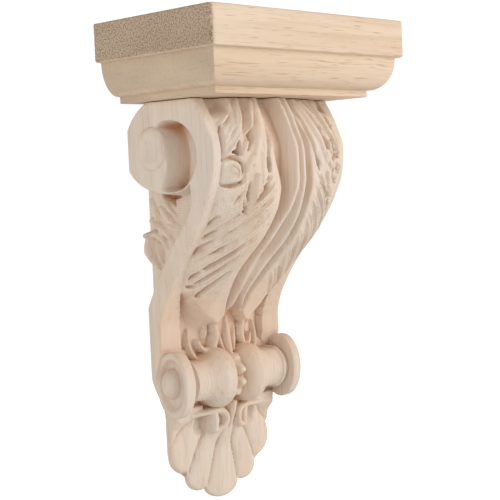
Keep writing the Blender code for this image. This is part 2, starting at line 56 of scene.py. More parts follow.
ORIGIN_DOWN = 105.0

# Sizes of the two pieces, read from the frame
CAP_LOW, CAP_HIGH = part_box("cap")
CAP_WIDTH = (CAP_HIGH[0] - CAP_LOW[0]) / MM
CAP_DEPTH = (CAP_HIGH[1] - CAP_LOW[1]) / MM
CAP_HEIGHT = (CAP_HIGH[2] - CAP_LOW[2]) / MM
FOOT_DOWN = ORIGIN_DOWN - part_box("carved_bracket")[0][2] / MM
SEAM = 0.3
SEAM_DOWN = CAP_HEIGHT + SEAM

# Cap: a slab over a quarter-round and a small fillet
SLAB_HEIGHT = 16.2
SLAB_CORNER = 2.5
TOP_ROUND = 0.9
STEP_IN = 3.0
OVOLO_FOOT_DOWN = 30.2
OVOLO_FOOT_IN = 11.4
FILLET_IN = 12.4

# Bracket: front line of its side rims, out from the wall at each level
RIM_LINE = ((33, 38.0), (44, 44.6), (55.5, 48.5), (66, 47.2), (78, 41.9), (90, 33.8),
            (102.8, 22.4), (112, 15.6), (123, 9.1), (131, 7.0), (139, 7.0))
SIDE_HALF_WIDTH = 38.0
FIELD_HALF_WIDTH = 34.5
SWELL = 6.8
SWELL_FADE_OUT = 95.0
EDGE_ROUND = 1.8

# Side scroll
VOLUTE_OUT = 20.5
VOLUTE_DOWN = 54.5
VOLUTE_RADIUS = 23.5
VOLUTE_LOWER_RADIUS = 18.0
EYE_OUT = 14.6
EYE_DOWN = 53.0
EYE_REACH = 8.2
EYE_RISE = 9.2
EYE_HEIGHT = 2.2
DISH_RADIUS = 5.6
DISH_DEPTH = 1.6
HOLLOW_OUT = 24.0
HOLLOW_DOWN = 56.5
HOLLOW_RADIUS = 14.4
HOLLOW_HALF_WIDTH = 32.0
SHELF_OUT = 11.0
SHELF_DOWN = 57.7
SHELF_REACH = 12.2
SHELF_RISE = 17.0
BAND_REAR = ((33, 20.0), (56, 26.0), (62, 31.0), (68, 34.0), (76, 33.5), (83, 29.4), (93, 20.0),
             (102.5, 12.0), (110, 6.0), (122, -1.0))

# Small leaf in the side field: three points (out, down), three half-widths, height
SIDE_STROKES = (
    (((10.0, 70.0), (11.0, 77.0), (17.5, 81.5)), (1.5, 1.7, 0.8), 2.6),
    (((12.4, 72.6), (16.0, 73.4), (20.5, 73.0)), (1.3, 1.9, 1.0), -3.0),
    (((14.2, 74.0), (16.2, 75.0), (17.0, 77.4)), (1.2, 1.4, 0.5), -2.5),
    (((2.0, 75.0), (6.0, 80.0), (5.5, 86.5)), (1.5, 2.2, 1.0), 2.0),
    (((8.5, 78.5), (12.0, 84.0), (19.5, 86.5)), (1.6, 2.2, 0.8), 2.2),
    (((2.0, 83.5), (9.0, 87.0), (15.0, 92.5)), (1.6, 2.2, 0.8), 2.4),
    (((2.0, 89.5), (-2.0, 97.0), (5.5, 103.5)), (2.0, 2.6, 1.3), 4.6),
    (((2.0, 89.5), (8.0, 88.5), (11.0, 95.0)), (1.8, 2.0, 0.9), 2.8),
    (((5.0, 93.0), (7.0, 97.0), (7.5, 101.0)), (1.5, 2.4, 1.2), -2.4),
)

# Front leaf: a double rib, a valley and a crest on each side of the middle
CREST_LINE = ((33, 11.5), (50, 12.3), (60, 12.0), (70, 10.6), (80, 9.9), (92, 10.8),
              (102, 11.2), (110, 10.3), (118, 8.0), (126, 6.5))
CREST_HEIGHT = ((33, 5.5), (56, 5.6), (61, 6.9), (68, 9.3), (73, 11.1), (82, 12.5),
                (92, 13.0), (100, 12.0), (108, 9.8), (118, 7.8), (134, 6.2))
RIB_LINE = ((33, 1.7), (70, 1.9), (78, 2.6), (88, 4.4), (98, 4.8), (108, 3.6), (118, 2.4), (126, 3.0))
RIB_HEIGHT = ((33, 10.6), (48, 9.6), (63, 11.2), (73, 13.2), (81, 13.8), (88, 13.2),
              (94, 12.8), (104, 11.0), (113, 9.5), (122, 8.0), (134, 6.5))
RIB_GROOVE = ((33, 1.5), (72, 1.7), (80, 3.0), (90, 5.0), (98, 4.5), (106, 2.5), (116, 2.0))
VALLEY_HEIGHT = ((33, 2.0), (50, 2.2), (62, 2.8), (73, 4.2), (84, 6.0), (96, 6.5),
                 (108, 4.5), (118, 2.5), (126, 1.5))
RIM_INNER = ((33, 36.0), (60, 37.2), (72, 37.2), (80, 36.5), (88, 36.2), (96, 35.6),
             (104, 34.4), (113, 31.5), (118, 29.0), (124, 27.0), (131, 26.0), (139, 25.5))
FLANK_POWER = ((40, 2.2), (52, 1.7), (66, 1.6), (80, 2.2))
FLANK_DROP = 0.92
CORNER_AT = 30.0
CORNER_SLOPE = 0.35
CORNER_ACROSS = (27.0, 28.8)
CORNER_LEVELS = (41.0, 36.8)
CORNER_DROP = 5.0
LEAF_END = ((0, 117), (2, 122), (6, 127.5), (10, 130.8), (14, 130.4), (18, 128.4), (21.5, 124.8),
            (24.5, 121.0), (26.5, 118.6), (29, 116.5))
NECK_TOP_DOWN = 100.0
LEDGE_DOWN = 139.5
NECK_FLOOR = ((0, 8.0), (6, 8.0), (12, 6.2), (17, 5.0), (22, 3.8), (26, 3.0))

# Cuts and ridges of the upper lobes: three points (across, down), three half-widths, height
LOBE_STROKES = (
    (((26.8, 34.4), (28.9, 40.5), (36.3, 45.5)), (1.2, 1.6, 0.6), 2.2),
    (((26.1, 39.6), (28.5, 45.5), (36.0, 52.4)), (0.4, 0.9, 0.3), 1.0),
    (((25.5, 41.0), (28.4, 48.0), (35.8, 55.2)), (0.4, 0.8, 0.3), 0.9),
    (((23.5, 35.0), (26.5, 47.0), (35.4, 57.6)), (1.2, 1.7, 0.7), 2.6),
    (((15.6, 35.0), (23.0, 46.5), (28.0, 57.5)), (1.4, 1.9, 0.9), 2.2),
    (((12.2, 34.0), (18.5, 48.5), (23.0, 61.0)), (1.6, 2.2, 1.2), 1.8),
    (((22.9, 57.6), (26.0, 62.0), (28.5, 67.0)), (1.2, 1.6, 0.6), 1.8),
    (((21.8, 66.5), (23.0, 72.5), (23.0, 78.5)), (1.6, 1.4, 0.5), 2.0),
    (((34.6, 45.5), (36.2, 52.0), (36.6, 59.0)), (1.0, 1.3, 0.8), -2.6),
    (((27.6, 37.5), (30.0, 43.5), (36.5, 48.4)), (0.5, 1.3, 0.5), -1.6),
    (((24.9, 38.4), (27.6, 48.0), (35.6, 56.4)), (0.4, 0.9, 0.4), -1.2),
    (((19.1, 34.0), (22.5, 43.5), (26.0, 51.5)), (1.3, 1.7, 0.8), -2.2),
    (((28.7, 51.5), (29.2, 54.0), (29.5, 56.5)), (0.4, 1.1, 1.3), -4.4),
    (((29.0, 56.4), (30.5, 55.8), (32.4, 56.4)), (1.0, 1.1, 0.5), -2.6),
    (((20.8, 45.8), (23.2, 49.6), (25.0, 55.2)), (0.7, 2.0, 0.9), -4.2),
    (((10.9, 40.0), (13.2, 51.0), (15.0, 58.5)), (0.8, 1.3, 0.9), -1.8),
    (((15.2, 59.2), (15.5, 61.5), (15.6, 64.3)), (0.8, 1.3, 0.8), -6.0),
    (((16.4, 66.5), (16.8, 71.0), (20.8, 76.5)), (0.7, 1.9, 0.6), -2.8),
    (((17.4, 57.0), (18.4, 62.0), (18.6, 67.0)), (0.8, 1.4, 0.6), 0.9),
    (((24.8, 69.0), (25.4, 73.5), (24.4, 79.0)), (0.6, 1.3, 0.6), -2.6),
    (((26.6, 76.5), (25.6, 79.5), (24.3, 82.0)), (0.6, 1.3, 0.5), -3.0),
    (((30.2, 77.5), (28.8, 75.0), (27.3, 72.4)), (0.5, 0.9, 0.5), -1.6),
    (((36.0, 59.4), (31.4, 56.8), (28.2, 61.0)), (0.9, 1.3, 0.9), -2.6),
    (((36.6, 59.6), (37.4, 64.0), (36.6, 68.5)), (0.7, 0.9, 0.7), -1.8),
    (((36.4, 69.2), (31.8, 70.8), (28.2, 68.4)), (0.8, 1.3, 0.8), -3.0),
    (((28.2, 61.0), (27.4, 64.6), (28.2, 68.4)), (0.7, 1.1, 0.7), -1.8),
    (((34.8, 61.6), (31.4, 60.8), (30.4, 64.2)), (0.5, 0.9, 0.6), -1.6),
    (((30.4, 64.2), (30.6, 66.6), (33.0, 66.8)), (0.6, 0.8, 0.4), -1.2),
    (((35.6, 63.4), (33.6, 62.6), (32.4, 64.6)), (0.4, 0.8, 0.8), 0.9),
)
BOSS_AT = (32.4, 64.4)
BOSS_SIZE = (3.9, 5.0)
BOSS_HEIGHT = 2.0

# Blades below the lobes: levels of the cuts between them, and the deeper gaps
BLADE_SLOPE = 1.05
BLADE_START = 14.0
BLADE_CUTS = (61.0, 68.5, 75.0, 82.0, 90.0, 96.5, 104.5, 114.0)
BLADE_RELIEF = 2.8
BLADE_GAPS = (
    (((18.5, 94.5), (21.8, 98.5), (27.5, 103.5)), (0.6, 1.2, 1.5), -3.0),
    (((16.5, 98.0), (22.0, 105.5), (27.5, 110.3)), (0.4, 1.1, 1.0), -2.4),
    (((15.0, 106.5), (20.5, 109.5), (23.4, 116.5)), (0.4, 1.2, 1.2), -2.6),
    (((32.0, 92.4), (34.0, 94.2), (35.2, 100.8)), (1.0, 1.9, 0.7), -4.5),
    (((34.1, 82.6), (35.0, 84.3), (35.6, 87.2)), (0.9, 1.2, 0.5), -3.2),
    (((32.4, 88.0), (34.0, 89.3), (35.2, 91.4)), (0.5, 1.1, 0.6), -3.0),
    (((26.3, 95.0), (28.0, 96.3), (29.8, 97.9)), (0.6, 1.3, 0.7), -3.2),
    (((29.2, 106.0), (30.2, 107.0), (30.8, 108.8)), (0.7, 1.1, 0.6), -2.6),
    (((25.8, 112.1), (29.0, 112.5), (31.4, 111.6)), (0.6, 0.9, 0.5), -2.2),
    (((28.0, 116.3), (29.4, 118.0), (30.4, 120.2)), (0.5, 1.0, 0.5), -2.5),
)

# Upright leaf tips and a curl in the neck: points (across, down, out) and half-widths
NECK_LEAVES = (
    (((0.0, 149.0, 12.6), (0.0, 140.0, 12.4), (0.0, 129.0, 9.4)), (2.4, 2.3, 0.4)),
    (((5.4, 133.0, 9.0), (4.6, 138.0, 10.2), (3.0, 144.0, 11.0)), (0.5, 1.5, 0.8)),
    (((2.0, 120.5, 13.4), (5.4, 127.4, 13.0), (9.2, 131.0, 12.0)), (0.4, 0.9, 1.2)),
    (((9.2, 131.0, 12.0), (6.4, 136.5, 12.2), (9.8, 142.0, 11.6)), (1.2, 1.6, 1.5)),
    (((9.8, 142.0, 11.6), (14.8, 144.0, 10.0), (16.4, 137.6, 8.4)), (1.5, 1.3, 0.6)),
    (((13.4, 131.4, 9.2), (11.6, 133.6, 9.4), (12.8, 136.8, 8.6)), (0.5, 1.0, 0.5)),
    (((17.5, 146.5, 9.4), (22.8, 140.0, 7.4), (20.2, 132.0, 6.0)), (1.3, 1.2, 0.3)),
)

# Roll across the foot, with a disc at each end
ROLL_OUT = 11.2
ROLL_DOWN = 154.6
ROLL_REACH = ((0, 4.6), (3.0, 4.8), (4.4, 7.8), (6.5, 10.4), (9, 11.4), (12, 10.9), (15.5, 8.6),
              (19, 7.0), (24.5, 6.6), (26.2, 6.9), (27.3, 8.3), (28.4, 6.6), (31, 6.2))
ROLL_RISE = ((0, 9.6), (3.0, 9.8), (4.4, 11.4), (6.5, 12.8), (9, 13.4), (12, 12.8), (15.5, 10.6),
             (19, 9.0), (24.5, 8.5), (26.2, 8.8), (27.3, 10.0), (28.4, 8.2), (31, 7.8))
LUMP_HALF_WIDTH = 3.2
LUMP_SPACING = 6.2
LUMP_HEIGHT = 4.2
DISC_HALF_WIDTH = 36.6
DISC_THICKNESS = 5.4
DISC_REACH = 9.9
DISC_RISE = 14.6
DISC_RIM = 2.6
BOWL_DEPTH = 2.0
BUTTON_REACH = 4.5
BUTTON_RISE = 6.5
BUTTON_HEIGHT = 3.6
BUTTON_SHIFT = 0.8
SLAB_OUT = ((139, 6.9), (144, 6.0), (150, 3.6), (153, 3.0), (171, 3.0))
UNDER_ROLL_OUT = 5.5

# Shell under the roll: flutes that fan out over a thin plate
FAN_DOWN = 168.0
CURLS_TOP_DOWN = 166.5
SHELL_TOP_DOWN = 170.3
SHELL_HALF_WIDTH = 31.1
SHELL_EDGE_OUT = 2.6
SHELL_RISE = 1.6
FLUTE_RELIEF = 2.5
FLUTE_EDGES = (14.5, 35.0, 62.0, 92.0)
FLUTE_REACH = (43.5, 41.0, 38.4, 33.0)
FLUTE_MIDDLES = (0.0, 24.8, 48.5, 77.0)
FLUTE_HALVES = (14.5, 10.3, 13.5, 15.0)
FLUTE_BEND = 0.45
SCALLOP_DEPTH = 6.0
CURL_PATHS = (
    (((31.0, 170.6, 6.0), (21.0, 170.4, 9.0), (11.0, 169.6, 11.0)), (1.2, 1.5, 1.7)),
    (((11.0, 169.6, 11.0), (3.4, 169.2, 12.6), (3.6, 174.6, 12.4)), (1.7, 1.8, 1.5)),
    (((3.6, 174.6, 12.4), (4.6, 178.6, 11.6), (8.6, 178.6, 10.0)), (1.5, 1.5, 1.3)),
    (((9.6, 171.2, 10.6), (8.4, 174.4, 10.9), (9.4, 178.0, 10.2)), (2.2, 2.7, 1.8)),
    (((0.0, 165.0, 14.0), (0.0, 172.0, 13.2), (0.0, 182.0, 7.0)), (1.4, 1.8, 0.7)),
)
CURL_HOLLOW = ((12.0, 18.0), (171.8, 178.6))
CURL_HOLLOW_OUT = 2.0

# A small chip at the shell's left edge, and how far its colour spreads
CHIP_AT = (-23.4, 3.4, 199.0)
CHIP_SIZE = (1.5, 1.8, 3.0)
CHIP_SPREAD = 1.5

# Fine grid that the carved surface is drawn from, and the triangles kept of it
GRID_STEP = 0.5
GRID_ACROSS = 48.0
GRID_OUT = 62.0
GRID_BELOW = 3.0
MOST_TRIANGLES = 196000
FAR_BEHIND = -50.0
PATH_POINTS = 13
SETTLE_ROUNDS = 3
SETTLE_STEP = 0.4

# How far round a point its wood is counted, to paint shade into fine cuts and deep hollows
CREVICE_REACH = 1.0
RECESS_REACH = 5.0

# Waves left by the cutter on the leaf: spacing, slant, heights, and distances from the middle
TOOL_PASS = 1.1
TOOL_SLANT = 0.9
TOOL_LEVELS = (20.0, 39.0)
TOOL_INNER = (15.0, 21.0)
TOOL_OUTER = (37.0, 35.0)

# How deep the grain, the pits and the cutter's waves are drawn
BUMP_DISTANCE = 0.00012
BUMP_STRENGTH = 0.6

# Heights over which the painted shade of the neck hollow fades in at its top and out at its foot
NECK_SHADE_TOP = (-4.0, -18.0)
NECK_SHADE_FOOT = (-47.0, -38.0)

# Screen colours of the carved wood, with the painted shade of its hollows, neck and fine cuts
WOOD_WARM = (228, 208, 188)
WOOD_COOL = (224, 210, 195)
WOOD_STREAK = (214, 191, 168)
WOOD_GRAIN = (184, 156, 130)
RECESS_SHADE = (202, 152, 110)
NECK_SHADE = (208, 160, 120)
CREVICE_SHADE = (172, 132, 100)
WOOD_CHIP = (186, 138, 96)

# Screen colours of the cap: long grain on its front, end grain on its ends
CAP_PALE = (226, 203, 178)
CAP_DEEP = (216, 190, 163)
CAP_STREAK = (202, 170, 138)
CAP_VESSEL = (160, 128, 100)
END_PALE = (206, 184, 157)
END_DEEP = (192, 170, 146)
END_PIT = (142, 112, 84)

# Camera: turn, height and roll in degrees, and place in metres, its height below the cap's top
CAMERA_TURN = -45.86
CAMERA_HEIGHT = 3.08
CAMERA_ROLL = -2.61
CAMERA_LENS = 88.93
CAMERA_AT = (-0.3892, -0.4041)
CAMERA_BELOW_TOP = 0.0692

# Studio, in metres and watts
LIGHT_TARGET = (0, -0.02, 0)
KEY_AT = (0.7, -1.25, 0.5)
KEY_SIDE = 0.8
KEY_POWER = 10.5
KEY_TINT = (1.0, 0.99, 0.98)
FILL_AT = (-1.3, -0.2, 0.3)
FILL_SIDE = 1.0
FILL_POWER = 3.4
FILL_TINT = (0.97, 0.985, 1.0)
SURROUND_LIGHT = 0.45
BACKDROP_LIGHT = 1.05
FLOOR_SIDE = 6.0
FLOOR_LEVEL = -0.32
# The floor's glow is painted light that whitens it far from the corbel and fades out nearer, leaving a
# painted shadow pool under the corbel
FLOOR_FADE = (0.62, 0.95)
FLOOR_PAINTED_GLOW = 0.8


def ease(start, end, value):
    """Rise smoothly from 0 at start to 1 at end."""
    t = np.clip((value - start) / (end - start), 0.0, 1.0)
    return t * t * (3.0 - 2.0 * t)


def line_through(points, value):
    """Read a smooth line, without overshoot, that passes through the points."""
    at = np.array([p[0] for p in points], float)
    to = np.array([p[1] for p in points], float)
    step = np.diff(at)
    slope = np.diff(to) / step
    tangent = np.zeros(len(at))
    for i in range(1, len(at) - 1):
        if slope[i - 1] * slope[i] > 0:
            tangent[i] = 2.0 * slope[i - 1] * slope[i] / (slope[i - 1] + slope[i])
    tangent[0] = slope[0]
    tangent[-1] = slope[-1]
    value = np.clip(value, at[0], at[-1])
    i = np.clip(np.searchsorted(at, value, side="right") - 1, 0, len(step) - 1)
    t = (value - at[i]) / step[i]
    return ((2 * t**3 - 3 * t**2 + 1) * to[i] + (t**3 - 2 * t**2 + t) * step[i] * tangent[i]
            + (3 * t**2 - 2 * t**3) * to[i + 1] + (t**3 - t**2) * step[i] * tangent[i + 1])


def softer_max(a, b, blend):
    """The larger of two levels, with the corner between them filled by blend."""
    t = np.clip(0.5 + 0.5 * (a - b) / blend, 0.0, 1.0)
    return b + (a - b) * t + blend * t * (1.0 - t)


def boss(across, down, at, size, height):
    """A round-topped boss."""
    q = ((across - at[0]) / size[0])**2 + ((down - at[1]) / size[1])**2
    return height * np.clip(1.0 - q, 0.0, 1.0)**1.3


def bent_path(path, widths):
    """Points and half-widths along a bend that leans towards its middle point."""
    path = np.array(path, float)
    t = np.linspace(0.0, 1.0, PATH_POINTS)[:, None]
    line = (1 - t)**2 * path[0] + 2 * t * (1 - t) * path[1] + t**2 * path[2]
    return line, np.interp(t[:, 0], (0.0, 0.5, 1.0), widths)


def beside(across, down, start, step):
    """How far along a straight step each place lies, from 0 to 1, and its distance from the step."""
    along = ((across - start[0]) * step[0] + (down - start[1]) * step[1]) / step[:2].dot(step[:2])
    along = np.clip(along, 0.0, 1.0)
    gap = np.hypot(across - start[0] - along * step[0], down - start[1] - along * step[1])
    return along, gap


def stroke(across, down, path, widths, height):
    """A ridge along a bent path, or a groove where height is negative."""
    line, wide = bent_path(path, widths)
    best = np.zeros(np.broadcast(across, down).shape)
    for i in range(len(line) - 1):
        along, gap = beside(across, down, line[i], line[i + 1] - line[i])
        half = np.maximum(wide[i] + (wide[i + 1] - wide[i]) * along, 0.01)
        level = np.clip(1.0 - (gap / half)**2, 0.0, 1.0) * np.minimum(1.0, half / max(widths))
        best = np.maximum(best, level)
    return height * best


def raised(across, down, path, widths):
    """Top of a ridge along a bent path that carries its own distance from the wall."""
    line, wide = bent_path(path, widths)
    top = np.full(np.broadcast(across, down).shape, FAR_BEHIND)
    for i in range(len(line) - 1):
        step = line[i + 1] - line[i]
        along, gap = beside(across, down, line[i], step)
        half = wide[i] + (wide[i + 1] - wide[i]) * along
        level = line[i][2] + along * step[2] - 1.25 * half * (gap / half)**2
        top = np.maximum(top, np.where(gap < half, level, FAR_BEHIND))
    return top


def leaf_height(across, down):
    """How far the acanthus leaf stands in front of the side rims."""
    rim = line_through(RIM_INNER, down)
    rib = line_through(RIB_HEIGHT, down)
    rib_at = line_through(RIB_LINE, down)
    crest = line_through(CREST_HEIGHT, down)
    crest_at = line_through(CREST_LINE, down)
    valley = line_through(VALLEY_HEIGHT, down)
    groove = line_through(RIB_GROOVE, down)
    inside = rib - groove * (1.0 - ease(0.3, 0.85, across / rib_at))
    valley_side = valley + (rib - valley) * ease(rib_at + 2.5, rib_at + 0.7, across)
    valley_side += (crest - valley) * ease(crest_at - 3.2, crest_at - 0.2, across)
    flank = np.clip((across - crest_at) / (rim - crest_at), 0.0, 1.0)
    outside = crest * (1.0 - FLANK_DROP * flank**line_through(FLANK_POWER, down))
    height = np.where(across < rib_at, inside, np.where(across < crest_at, valley_side, outside))
    for path, widths, lift in LOBE_STROKES + BLADE_GAPS:
        height = height + stroke(across, down, path, widths, lift)
    height += boss(across, down, BOSS_AT, BOSS_SIZE, BOSS_HEIGHT)
    height += blades(across, down, crest_at, rim)
    corner_level = down - CORNER_SLOPE * (across - CORNER_AT)
    height -= CORNER_DROP * ease(*CORNER_ACROSS, across) * ease(*CORNER_LEVELS, corner_level)
    return height


def blades(across, down, crest_at, rim):
    """Slender blades that run from the crest down and outwards to the rim."""
    level = down - BLADE_SLOPE * (across - BLADE_START)
    lift = np.zeros(np.broadcast(across, down).shape)
    for start, end in zip(BLADE_CUTS[:-1], BLADE_CUTS[1:]):
        share = np.clip((level - start) / (end - start), 0.0, 1.0)
        body = np.sqrt(np.clip(1.0 - (2.0 * share - 1.0)**2, 0.0, 1.0)) - 0.7
        ridges = 0.2 * np.cos(6.0 * math.pi * share)
        lift = np.where((level >= start) & (level < end), body + ridges, lift)
    first, last = BLADE_CUTS[0], BLADE_CUTS[-1]
    fade = ease(first, first + 7.0, level) * ease(last, last - 4.0, level)
    fade = fade * ease(crest_at + 0.5, crest_at + 5.0, across) * ease(rim, rim - 2.0, across)
    return BLADE_RELIEF * lift * fade


def shell_reach(angle):
    """How far the scalloped edge of the shell lies from the fan point."""
    angle = np.abs(angle)
    reach = np.full(np.shape(angle), 31.0)
    for middle, half, radius in zip(FLUTE_MIDDLES, FLUTE_HALVES, FLUTE_REACH):
        q = np.clip(1.0 - ((angle - middle) / (half * 1.1))**2, 0.0, 1.0)
        reach = np.maximum(reach, radius - SCALLOP_DEPTH * (1.0 - np.sqrt(q)))
    return reach


def flute_profile(angle):
    """1 along the middle of each flute and 0 in the grooves between them."""
    angle = np.abs(angle)
    level = np.zeros(np.shape(angle))
    start = -FLUTE_EDGES[0]
    for end in FLUTE_EDGES:
        q = 1.0 - ((angle - 0.5 * (start + end)) / (0.5 * (end - start)))**2
        level = np.maximum(level, np.sqrt(np.clip(q, 0.0, 1.0)))
        start = end
    return level


def curl_hollow(across, down):
    """1 inside the hollow beside each curl over the shell, 0 outside it."""
    (inner, outer), (top, foot) = CURL_HOLLOW
    hollow = ease(outer + 2.0, outer - 2.0, across) * ease(top - 0.6, top + 0.4, down)
    hollow = hollow * ease(foot + 2.5, foot - 1.5, down)
    return hollow * ease(inner - 1.0, inner + 0.6, across)


def shell_out(across, down):
    """Front of the shell: a thin fluted plate that rises under the curls."""
    angle = np.degrees(np.arctan2(across, np.maximum(down - FAN_DOWN, 0.01)))
    spread = np.hypot(across, down - FAN_DOWN) / np.maximum(shell_reach(angle), 1.0)
    angle = angle * (1.0 - FLUTE_BEND * np.clip(1.0 - spread, 0.0, 1.0) * ease(14.0, 36.0, angle))
    out = SHELL_EDGE_OUT + SHELL_RISE * np.clip(1.0 - spread**3, 0.0, 1.0)
    out += 3.2 * ease(177.0, 171.0, down) * ease(13.5, 16.0, across)
    out += 4.5 * ease(0.5, 0.2, spread) * ease(24.0, 10.0, across)
    out += FLUTE_RELIEF * (flute_profile(angle) - 0.55) * ease(0.2, 0.45, spread) * ease(1.06, 0.9, spread)
    out += (CURL_HOLLOW_OUT - out) * curl_hollow(across, down)
    for path, widths in CURL_PATHS:
        out = np.maximum(out, raised(across, down, path, widths))
    return out


def roll_out(across, down):
    """Front of the roll between its discs, or far behind the wall above and below it."""
    rise = line_through(ROLL_RISE, across)
    reach = line_through(ROLL_REACH, across)
    lump = 0.5 - 0.5 * np.cos(2.0 * math.pi * (down - ROLL_DOWN) / LUMP_SPACING)
    reach = reach + LUMP_HEIGHT * np.sqrt(lump) * ease(LUMP_HALF_WIDTH, 0.3 * LUMP_HALF_WIDTH, across)
    q = 1.0 - ((down - ROLL_DOWN) / rise)**2
    q = np.where(across < DISC_HALF_WIDTH - 0.5 * DISC_THICKNESS, q, -1.0)
    return np.where(q > 0, ROLL_OUT + reach * np.sqrt(np.clip(q, 0.0, 1.0)), FAR_BEHIND)


def neck_out(across, down):
    """The hollow of the neck, below the leaf, with the leaf tips that stand in it."""
    floor = line_through(NECK_FLOOR, across)
    neck = np.maximum(floor, UNDER_ROLL_OUT * ease(LEDGE_DOWN - 3.0, LEDGE_DOWN + 3.0, down))
    for path, widths in NECK_LEAVES:
        neck = np.maximum(neck, raised(across, down, path, widths))
    return neck


def front_out(across, down):
    """Front of the bracket at a point, its discs apart, as a distance from the wall."""
    inner = line_through(RIM_INNER, down)
    leaf = line_through(RIM_LINE, down) + leaf_height(across, down) * ease(inner, inner - 1.2, across)
    neck = neck_out(across, down)
    end = line_through(LEAF_END, across)
    soft = 0.7 + 4.0 * ease(9.0, 15.0, across) - 2.4 * ease(20.0, 26.0, across)
    neck = neck + (leaf - neck) * ease(end + soft, end - soft, down)
    front = np.where((down > NECK_TOP_DOWN) & (across < inner), neck, leaf)
    neck_half = inner + (DISC_HALF_WIDTH - DISC_THICKNESS - inner) * ease(142.0, 148.0, down)
    under = np.where(across < neck_half, neck, line_through(SLAB_OUT, down))
    front = np.where(down > LEDGE_DOWN, under, front)
    front = np.where(down > CURLS_TOP_DOWN, shell_out(across, down), front)
    return np.maximum(front, roll_out(across, down))


def scroll_half_width(out, down):
    """Half the bracket's width at a point on its side, above the roll."""
    swell = SWELL * (1.0 - out / SWELL_FADE_OUT) * (1.0 - ease(62.0, 115.0, down))
    face = SIDE_HALF_WIDTH + swell
    radius = np.where(down < VOLUTE_DOWN, VOLUTE_RADIUS, VOLUTE_LOWER_RADIUS)
    inside = 1.0 - np.sqrt(((out - VOLUTE_OUT) / VOLUTE_RADIUS)**2 + ((down - VOLUTE_DOWN) / radius)**2)
    inside *= VOLUTE_LOWER_RADIUS
    band = np.maximum(inside, out - line_through(BAND_REAR, down))
    field = FIELD_HALF_WIDTH
    for path, widths, lift in SIDE_STROKES:
        field = field + stroke(out, down, path, widths, lift)
    half = field + (face - field) * ease(-0.8, 0.8, band)
    hollow = HOLLOW_RADIUS - np.hypot(out - HOLLOW_OUT, down - HOLLOW_DOWN)
    shelf = (np.hypot((out - SHELF_OUT) / SHELF_REACH, (down - SHELF_DOWN) / SHELF_RISE) - 1.0) * SHELF_REACH
    half += (HOLLOW_HALF_WIDTH - half) * ease(-0.8, 1.2, hollow) * ease(-1.6, 2.2, shelf)
    eye = np.hypot((out - EYE_OUT) / EYE_REACH, (down - EYE_DOWN) / EYE_RISE)
    dish = np.clip(1.0 - (eye * EYE_REACH / DISH_RADIUS)**2, 0.0, 1.0)
    eye_face = face + EYE_HEIGHT * np.sqrt(np.clip(1.0 - eye**4, 0.0, 1.0)) - DISH_DEPTH * dish
    half += (eye_face - half) * ease(1.1, 0.98, eye)
    return half


def foot_side_half_width(down):
    """Half the width of the back slab beside the roll."""
    return SIDE_HALF_WIDTH + (SHELL_HALF_WIDTH - SIDE_HALF_WIDTH) * ease(150.0, 171.0, down)


def disc_field(across, out, down):
    """The disc at the end of the roll: a raised rim, a shallow bowl and a round button."""
    oval = np.hypot((out - ROLL_OUT) / DISC_REACH, (down - ROLL_DOWN) / DISC_RISE)
    edge = (oval - 1.0) * DISC_REACH
    bowl = ease(-DISC_RIM + 0.8, -DISC_RIM - 0.8, edge)
    face = across - (DISC_HALF_WIDTH - BOWL_DEPTH * bowl)
    field = softer_max(edge * 1.1, face, 1.4)
    field = np.maximum(field, DISC_HALF_WIDTH - DISC_THICKNESS - across)
    knob = np.sqrt(((out - ROLL_OUT + BUTTON_SHIFT) / BUTTON_REACH)**2
                   + ((down - ROLL_DOWN + BUTTON_SHIFT) / BUTTON_RISE)**2
                   + ((across - DISC_HALF_WIDTH + BOWL_DEPTH) / (BUTTON_HEIGHT + BOWL_DEPTH))**2)
    return np.minimum(field, (knob - 1.0) * BUTTON_REACH * 0.8)


def steepness(height, axis_step):
    """How much farther apart two levels are across the slope than along it."""
    by_row, by_column = np.gradient(height, axis_step)
    return np.sqrt(1.0 + np.clip(by_row**2 + by_column**2, 0.0, 16.0))


def carved_field():
    """Distance-like values on a grid, negative inside the wood of the right half."""
    across = np.arange(0.0, GRID_ACROSS, GRID_STEP)
    out = np.arange(-1.5 * GRID_STEP, GRID_OUT, GRID_STEP)
    down = np.arange(SEAM_DOWN - 2.5 * GRID_STEP, FOOT_DOWN + GRID_BELOW, GRID_STEP)
    a, d = np.meshgrid(across, down, indexing="ij")
    front = front_out(a, d)
    front_slope = steepness(np.maximum(front, 0.0), GRID_STEP)
    angle = np.degrees(np.arctan2(a, np.maximum(d - FAN_DOWN, 0.01)))
    outline = np.where(d > SHELL_TOP_DOWN, np.hypot(a, d - FAN_DOWN) - shell_reach(angle), FAR_BEHIND)
    o, e = np.meshgrid(out, down, indexing="ij")
    side = np.where(e < LEDGE_DOWN, scroll_half_width(np.maximum(o, 0.0), np.minimum(e, LEDGE_DOWN)),
                    foot_side_half_width(e))
    side_slope = steepness(side, GRID_STEP)
    from_front = (out[None, :, None] - front[:, None, :]) / front_slope[:, None, :]
    from_side = (across[:, None, None] - side[None, :, :]) / side_slope[None, :, :]
    field = softer_max(from_front, from_side, EDGE_ROUND)
    field = softer_max(field, outline[:, None, :] + 0.0 * field, 1.6)
    field = np.minimum(field, disc_field(across[:, None, None], out[None, :, None], down[None, None, :]))
    field = np.maximum(field, -out[None, :, None])
    field = np.maximum(field, SEAM_DOWN - down[None, None, :])
    return across, out, down, field


